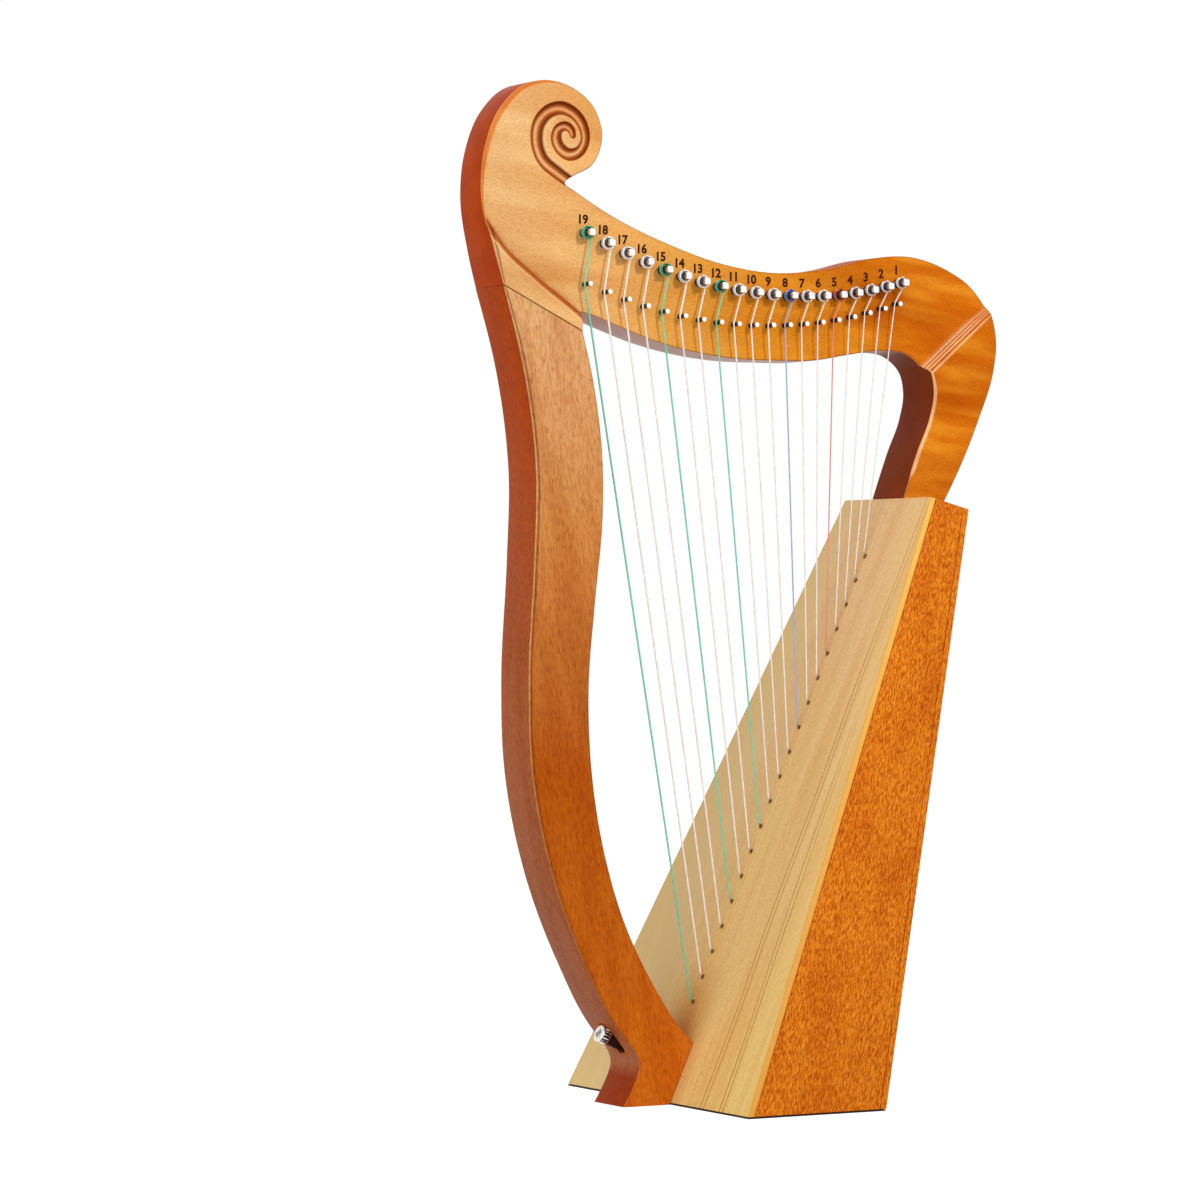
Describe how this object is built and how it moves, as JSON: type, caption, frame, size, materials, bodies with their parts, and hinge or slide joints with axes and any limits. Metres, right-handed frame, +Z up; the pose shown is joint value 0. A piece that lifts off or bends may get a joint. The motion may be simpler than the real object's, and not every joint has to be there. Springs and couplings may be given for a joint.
{
  "type": "lyre harp",
  "caption": "Small lyre harp with a scrolled neck, curved pillar and tapered soundbox; strings run from tuning pins down to the soundboard.",
  "frame": {"origin": "middle of the base panel's underside, where the harp stands", "axes": "+Z up; +X from the pillar towards the soundbox; -Y towards the side of the neck that has the tuning pins and strings"},
  "size_m": [0.357, 0.2196, 0.61],
  "materials": {
    "stained_maple": "satin lacquer over a honey to orange stain",
    "stained_mahogany": "satin lacquer, mottled orange-brown",
    "spruce": "thin satin lacquer, straight fine grain",
    "plain_hardwood": "unfinished, inside the instrument",
    "dark_wood": "dark matt stain",
    "nickel_plated_steel": "bright nickel plate",
    "brass": "plain",
    "clear_nylon": "smooth, whitish and slightly see-through",
    "black_nylon": "smooth, black",
    "green_nylon": "smooth, dyed green",
    "blue_nylon": "smooth, dyed blue",
    "red_nylon": "smooth, dyed red"
  },
  "bodies": {
    "frame": {"neck": "stained_maple", "pillar": "stained_maple", "pillar_dowel_outer": "plain_hardwood", "pillar_dowel_inner": "plain_hardwood", "shoulder_dowel_near": "plain_hardwood", "shoulder_dowel_far": "plain_hardwood", "soundboard": "spruce", "string_rib": "plain_hardwood", "side_wall_near": "stained_mahogany", "side_wall_far": "stained_mahogany", "back_panel": "stained_mahogany", "base_panel": "dark_wood", "top_block": "plain_hardwood", "foot_block": "plain_hardwood", "foot_bolt": "nickel_plated_steel", "foot_sleeve": "black_nylon", "foot_insert": "brass", "string_01": "green_nylon", "string_02": "clear_nylon", "string_03": "clear_nylon", "string_04": "clear_nylon", "string_05": "green_nylon", "string_06": "clear_nylon", "string_07": "clear_nylon", "string_08": "green_nylon", "string_09": "clear_nylon", "string_10": "clear_nylon", "string_11": "clear_nylon", "string_12": "blue_nylon", "string_13": "clear_nylon", "string_14": "clear_nylon", "string_15": "red_nylon", "string_16": "clear_nylon", "string_17": "clear_nylon", "string_18": "clear_nylon", "string_19": "clear_nylon"},
    "pin_01": {"tuning_pin_01": "nickel_plated_steel"},
    "pin_02": {"tuning_pin_02": "nickel_plated_steel"},
    "pin_03": {"tuning_pin_03": "nickel_plated_steel"},
    "pin_04": {"tuning_pin_04": "nickel_plated_steel"},
    "pin_05": {"tuning_pin_05": "nickel_plated_steel"},
    "pin_06": {"tuning_pin_06": "nickel_plated_steel"},
    "pin_07": {"tuning_pin_07": "nickel_plated_steel"},
    "pin_08": {"tuning_pin_08": "nickel_plated_steel"},
    "pin_09": {"tuning_pin_09": "nickel_plated_steel"},
    "pin_10": {"tuning_pin_10": "nickel_plated_steel"},
    "pin_11": {"tuning_pin_11": "nickel_plated_steel"},
    "pin_12": {"tuning_pin_12": "nickel_plated_steel"},
    "pin_13": {"tuning_pin_13": "nickel_plated_steel"},
    "pin_14": {"tuning_pin_14": "nickel_plated_steel"},
    "pin_15": {"tuning_pin_15": "nickel_plated_steel"},
    "pin_16": {"tuning_pin_16": "nickel_plated_steel"},
    "pin_17": {"tuning_pin_17": "nickel_plated_steel"},
    "pin_18": {"tuning_pin_18": "nickel_plated_steel"},
    "pin_19": {"tuning_pin_19": "nickel_plated_steel"}
  },
  "joints": [
    {"name": "pin_01_turn", "type": "hinge", "parent": "frame", "child": "pin_01", "pos_m": [-0.10139, -0.0095, 0.52004], "axis": [0, -1, 0], "range_deg": [-830, 90]},
    {"name": "pin_02_turn", "type": "hinge", "parent": "frame", "child": "pin_02", "pos_m": [-0.08785, -0.0095, 0.51427], "axis": [0, -1, 0], "range_deg": [-830, 90]},
    {"name": "pin_03_turn", "type": "hinge", "parent": "frame", "child": "pin_03", "pos_m": [-0.07446, -0.0095, 0.50883], "axis": [0, -1, 0], "range_deg": [-830, 90]},
    {"name": "pin_04_turn", "type": "hinge", "parent": "frame", "child": "pin_04", "pos_m": [-0.06122, -0.0095, 0.50396], "axis": [0, -1, 0], "range_deg": [-830, 90]},
    {"name": "pin_05_turn", "type": "hinge", "parent": "frame", "child": "pin_05", "pos_m": [-0.04813, -0.0095, 0.49983], "axis": [0, -1, 0], "range_deg": [-830, 90]},
    {"name": "pin_06_turn", "type": "hinge", "parent": "frame", "child": "pin_06", "pos_m": [-0.03519, -0.0095, 0.49639], "axis": [0, -1, 0], "range_deg": [-830, 90]},
    {"name": "pin_07_turn", "type": "hinge", "parent": "frame", "child": "pin_07", "pos_m": [-0.0224, -0.0095, 0.49352], "axis": [0, -1, 0], "range_deg": [-830, 90]},
    {"name": "pin_08_turn", "type": "hinge", "parent": "frame", "child": "pin_08", "pos_m": [-0.00976, -0.0095, 0.49121], "axis": [0, -1, 0], "range_deg": [-830, 90]},
    {"name": "pin_09_turn", "type": "hinge", "parent": "frame", "child": "pin_09", "pos_m": [0.00273, -0.0095, 0.48948], "axis": [0, -1, 0], "range_deg": [-830, 90]},
    {"name": "pin_10_turn", "type": "hinge", "parent": "frame", "child": "pin_10", "pos_m": [0.01507, -0.0095, 0.48825], "axis": [0, -1, 0], "range_deg": [-830, 90]},
    {"name": "pin_11_turn", "type": "hinge", "parent": "frame", "child": "pin_11", "pos_m": [0.02727, -0.0095, 0.48749], "axis": [0, -1, 0], "range_deg": [-830, 90]},
    {"name": "pin_12_turn", "type": "hinge", "parent": "frame", "child": "pin_12", "pos_m": [0.03931, -0.0095, 0.48714], "axis": [0, -1, 0], "range_deg": [-830, 90]},
    {"name": "pin_13_turn", "type": "hinge", "parent": "frame", "child": "pin_13", "pos_m": [0.0512, -0.0095, 0.48719], "axis": [0, -1, 0], "range_deg": [-830, 90]},
    {"name": "pin_14_turn", "type": "hinge", "parent": "frame", "child": "pin_14", "pos_m": [0.06294, -0.0095, 0.48769], "axis": [0, -1, 0], "range_deg": [-830, 90]},
    {"name": "pin_15_turn", "type": "hinge", "parent": "frame", "child": "pin_15", "pos_m": [0.07453, -0.0095, 0.48871], "axis": [0, -1, 0], "range_deg": [-830, 90]},
    {"name": "pin_16_turn", "type": "hinge", "parent": "frame", "child": "pin_16", "pos_m": [0.08597, -0.0095, 0.49035], "axis": [0, -1, 0], "range_deg": [-830, 90]},
    {"name": "pin_17_turn", "type": "hinge", "parent": "frame", "child": "pin_17", "pos_m": [0.09727, -0.0095, 0.4925], "axis": [0, -1, 0], "range_deg": [-830, 90]},
    {"name": "pin_18_turn", "type": "hinge", "parent": "frame", "child": "pin_18", "pos_m": [0.10841, -0.0095, 0.49498], "axis": [0, -1, 0], "range_deg": [-830, 90]},
    {"name": "pin_19_turn", "type": "hinge", "parent": "frame", "child": "pin_19", "pos_m": [0.1194, -0.0095, 0.4976], "axis": [0, -1, 0], "range_deg": [-830, 90]}
  ]
}
